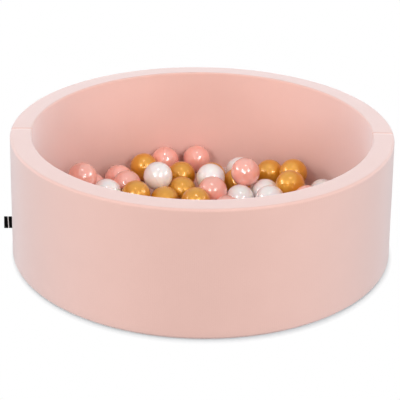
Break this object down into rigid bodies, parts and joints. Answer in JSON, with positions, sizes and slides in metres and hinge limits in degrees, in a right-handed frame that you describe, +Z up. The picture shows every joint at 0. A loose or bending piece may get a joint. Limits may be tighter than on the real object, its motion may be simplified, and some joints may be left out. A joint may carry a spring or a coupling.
{
  "type": "ball pit",
  "caption": "Round foam ball pit in a sewn cloth cover with a zip round the foot and a side label, holding loose hollow balls.",
  "frame": {"origin": "centre of the flat underside", "axes": "+Z up, out of the open top; +X towards the plain side seam, with the label in the seam near -X, each seam lying 22 mm in front of the X axis; +Y towards the zip at the back"},
  "size_m": [0.9389, 0.9212, 0.3],
  "materials": {
    "cover_cloth": "cotton jersey, sewn",
    "foam": "open-cell polyurethane foam, cut",
    "zip_tape": "woven tape",
    "zip_coil": "wound nylon coil",
    "zip_metal": "die cast, plated",
    "label_weave": "woven ribbon",
    "ball_pink": "blow moulded, satin",
    "ball_white": "blow moulded, pearl",
    "ball_gold": "blow moulded, metallic pigment"
  },
  "bodies": {
    "pit": {"base_panel": "cover_cloth", "floor_panel": "cover_cloth", "cover_front": "cover_cloth", "cover_back": "cover_cloth", "foam_wall_front": "foam", "foam_wall_back": "foam", "foam_floor": "foam", "zip_tape_lower": "zip_tape", "zip_tape_upper": "zip_tape", "zip_coil": "zip_coil", "zip_stop_near": "zip_metal", "zip_stop_far": "zip_metal", "ball_01": "ball_gold", "ball_02": "ball_white", "ball_03": "ball_white", "ball_06": "ball_pink", "ball_17": "ball_pink", "ball_21": "ball_pink", "ball_23": "ball_gold", "ball_24": "ball_gold", "ball_26": "ball_gold", "ball_27": "ball_gold", "ball_28": "ball_gold", "ball_29": "ball_pink", "ball_30": "ball_white", "ball_31": "ball_white", "ball_36": "ball_white"},
    "slider": {"zip_slider": "zip_metal"},
    "puller": {"zip_puller": "zip_metal"},
    "label": {"side_label": "label_weave"},
    "ball_43": {"ball_43": "ball_pink"},
    "ball_37": {"ball_37": "ball_pink"},
    "ball_38": {"ball_38": "ball_white"},
    "ball_44": {"ball_44": "ball_gold"},
    "ball_45": {"ball_45": "ball_pink"},
    "ball_42": {"ball_42": "ball_white"},
    "ball_41": {"ball_41": "ball_pink"},
    "ball_33": {"ball_33": "ball_gold"},
    "ball_39": {"ball_39": "ball_gold"},
    "ball_35": {"ball_35": "ball_gold"},
    "ball_34": {"ball_34": "ball_pink"},
    "ball_04": {"ball_04": "ball_pink"},
    "ball_05": {"ball_05": "ball_gold"},
    "ball_07": {"ball_07": "ball_gold"},
    "ball_08": {"ball_08": "ball_white"},
    "ball_09": {"ball_09": "ball_pink"},
    "ball_10": {"ball_10": "ball_pink"},
    "ball_11": {"ball_11": "ball_white"},
    "ball_12": {"ball_12": "ball_gold"},
    "ball_13": {"ball_13": "ball_white"},
    "ball_14": {"ball_14": "ball_pink"},
    "ball_15": {"ball_15": "ball_white"},
    "ball_16": {"ball_16": "ball_gold"},
    "ball_19": {"ball_19": "ball_gold"},
    "ball_22": {"ball_22": "ball_gold"},
    "ball_25": {"ball_25": "ball_white"},
    "ball_32": {"ball_32": "ball_white"},
    "ball_18": {"ball_18": "ball_pink"},
    "ball_20": {"ball_20": "ball_pink"},
    "ball_40": {"ball_40": "ball_white"}
  },
  "joints": [
    {"name": "zip_slide", "type": "hinge", "parent": "pit", "child": "slider", "pos_m": [0, 0, 0.0185], "axis": [0, 0, 1], "range_deg": [0, 122.5]},
    {"name": "puller_swing", "type": "hinge", "parent": "slider", "child": "puller", "pos_m": [0.4068, 0.22294, 0.0185], "axis": [0, 0, 1], "range_deg": [-170, 0]},
    {"name": "label_flap", "type": "hinge", "parent": "pit", "child": "label", "pos_m": [-0.45915, -0.02247, 0.039], "axis": [0, 0, 1], "range_deg": [-75, 75], "stiffness_Nm_per_rad": 0.0005},
    {"name": "ball_43_lift", "type": "slide", "parent": "pit", "child": "ball_43", "axis": [0, 0, 1], "range_m": [0, 0.3]},
    {"name": "ball_37_lift", "type": "slide", "parent": "pit", "child": "ball_37", "axis": [0, 0, 1], "range_m": [0, 0.3]},
    {"name": "ball_38_lift", "type": "slide", "parent": "pit", "child": "ball_38", "axis": [0, 0, 1], "range_m": [0, 0.3]},
    {"name": "ball_44_lift", "type": "slide", "parent": "pit", "child": "ball_44", "axis": [0, 0, 1], "range_m": [0, 0.3]},
    {"name": "ball_45_lift", "type": "slide", "parent": "pit", "child": "ball_45", "axis": [0, 0, 1], "range_m": [0, 0.3]},
    {"name": "ball_42_lift", "type": "slide", "parent": "pit", "child": "ball_42", "axis": [0, 0, 1], "range_m": [0, 0.3]},
    {"name": "ball_41_lift", "type": "slide", "parent": "pit", "child": "ball_41", "axis": [0, 0, 1], "range_m": [0, 0.3]},
    {"name": "ball_33_lift", "type": "slide", "parent": "pit", "child": "ball_33", "axis": [0, 0, 1], "range_m": [0, 0.3]},
    {"name": "ball_39_lift", "type": "slide", "parent": "pit", "child": "ball_39", "axis": [0, 0, 1], "range_m": [0, 0.3]},
    {"name": "ball_35_lift", "type": "slide", "parent": "pit", "child": "ball_35", "axis": [0, 0, 1], "range_m": [0, 0.3]},
    {"name": "ball_34_lift", "type": "slide", "parent": "pit", "child": "ball_34", "axis": [0, 0, 1], "range_m": [0, 0.3]},
    {"name": "ball_04_lift", "type": "slide", "parent": "pit", "child": "ball_04", "axis": [0, 0, 1], "range_m": [0, 0.3]},
    {"name": "ball_05_lift", "type": "slide", "parent": "pit", "child": "ball_05", "axis": [0, 0, 1], "range_m": [0, 0.3]},
    {"name": "ball_07_lift", "type": "slide", "parent": "pit", "child": "ball_07", "axis": [0, 0, 1], "range_m": [0, 0.3]},
    {"name": "ball_08_lift", "type": "slide", "parent": "pit", "child": "ball_08", "axis": [0, 0, 1], "range_m": [0, 0.3]},
    {"name": "ball_09_lift", "type": "slide", "parent": "pit", "child": "ball_09", "axis": [0, 0, 1], "range_m": [0, 0.3]},
    {"name": "ball_10_lift", "type": "slide", "parent": "pit", "child": "ball_10", "axis": [0, 0, 1], "range_m": [0, 0.3]},
    {"name": "ball_11_lift", "type": "slide", "parent": "pit", "child": "ball_11", "axis": [0, 0, 1], "range_m": [0, 0.3]},
    {"name": "ball_12_lift", "type": "slide", "parent": "pit", "child": "ball_12", "axis": [0, 0, 1], "range_m": [0, 0.3]},
    {"name": "ball_13_lift", "type": "slide", "parent": "pit", "child": "ball_13", "axis": [0, 0, 1], "range_m": [0, 0.3]},
    {"name": "ball_14_lift", "type": "slide", "parent": "pit", "child": "ball_14", "axis": [0, 0, 1], "range_m": [0, 0.3]},
    {"name": "ball_15_lift", "type": "slide", "parent": "pit", "child": "ball_15", "axis": [0, 0, 1], "range_m": [0, 0.3]},
    {"name": "ball_16_lift", "type": "slide", "parent": "pit", "child": "ball_16", "axis": [0, 0, 1], "range_m": [0, 0.3]},
    {"name": "ball_19_lift", "type": "slide", "parent": "pit", "child": "ball_19", "axis": [0, 0, 1], "range_m": [0, 0.3]},
    {"name": "ball_22_lift", "type": "slide", "parent": "pit", "child": "ball_22", "axis": [0, 0, 1], "range_m": [0, 0.3]},
    {"name": "ball_25_lift", "type": "slide", "parent": "pit", "child": "ball_25", "axis": [0, 0, 1], "range_m": [0, 0.3]},
    {"name": "ball_32_lift", "type": "slide", "parent": "pit", "child": "ball_32", "axis": [0, 0, 1], "range_m": [0, 0.3]},
    {"name": "ball_18_lift", "type": "slide", "parent": "pit", "child": "ball_18", "axis": [-0.0061, -0.0344, 0.9994], "range_m": [0, 0.3]},
    {"name": "ball_20_lift", "type": "slide", "parent": "pit", "child": "ball_20", "axis": [0.0224, -0.0267, 0.9994], "range_m": [0, 0.3]},
    {"name": "ball_40_lift", "type": "slide", "parent": "pit", "child": "ball_40", "axis": [-0.0934, -0.0783, 0.9925], "range_m": [0, 0.3]}
  ]
}
